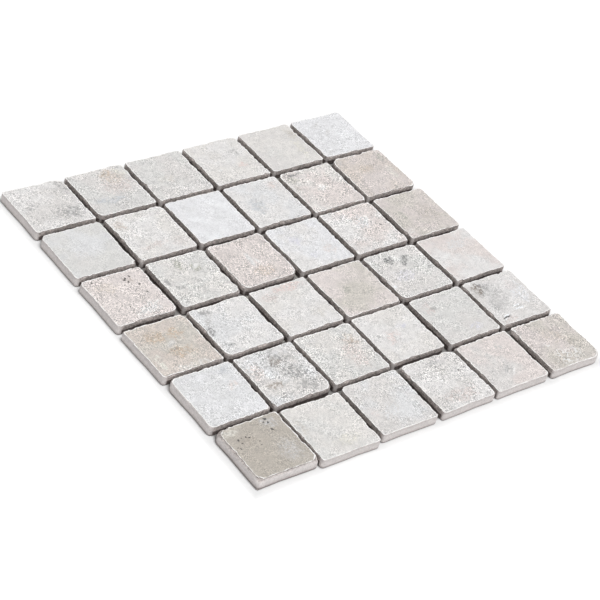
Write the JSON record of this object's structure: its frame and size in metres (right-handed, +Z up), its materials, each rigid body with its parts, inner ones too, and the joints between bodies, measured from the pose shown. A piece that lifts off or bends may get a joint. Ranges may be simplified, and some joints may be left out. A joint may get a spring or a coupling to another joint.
{
  "type": "mosaic tile sheet",
  "caption": "Flat square sheet of tumbled stone-look ceramic mosaic chips with open joints, held on a backing net.",
  "frame": {"origin": "middle of the sheet on the underside of the backing net, which lies on the floor", "axes": "+X along the sheet's front edge, +Y towards its back edge, +Z up out of the face"},
  "size_m": [0.2985, 0.2989, 0.007],
  "materials": {
    "chip": "matte",
    "net": "matte"
  },
  "bodies": {
    "root": {"chip_r1_c1": "chip", "chip_r1_c2": "chip", "chip_r1_c3": "chip", "chip_r1_c4": "chip", "chip_r1_c5": "chip", "chip_r1_c6": "chip", "chip_r2_c1": "chip", "chip_r2_c2": "chip", "chip_r2_c3": "chip", "chip_r2_c4": "chip", "chip_r2_c5": "chip", "chip_r2_c6": "chip", "chip_r3_c1": "chip", "chip_r3_c2": "chip", "chip_r3_c3": "chip", "chip_r3_c4": "chip", "chip_r3_c5": "chip", "chip_r3_c6": "chip", "chip_r4_c1": "chip", "chip_r4_c2": "chip", "chip_r4_c3": "chip", "chip_r4_c4": "chip", "chip_r4_c5": "chip", "chip_r4_c6": "chip", "chip_r5_c1": "chip", "chip_r5_c2": "chip", "chip_r5_c3": "chip", "chip_r5_c4": "chip", "chip_r5_c5": "chip", "chip_r5_c6": "chip", "chip_r6_c1": "chip", "chip_r6_c2": "chip", "chip_r6_c3": "chip", "chip_r6_c4": "chip", "chip_r6_c5": "chip", "chip_r6_c6": "chip", "backing_net": "net"}
  },
  "joints": []
}
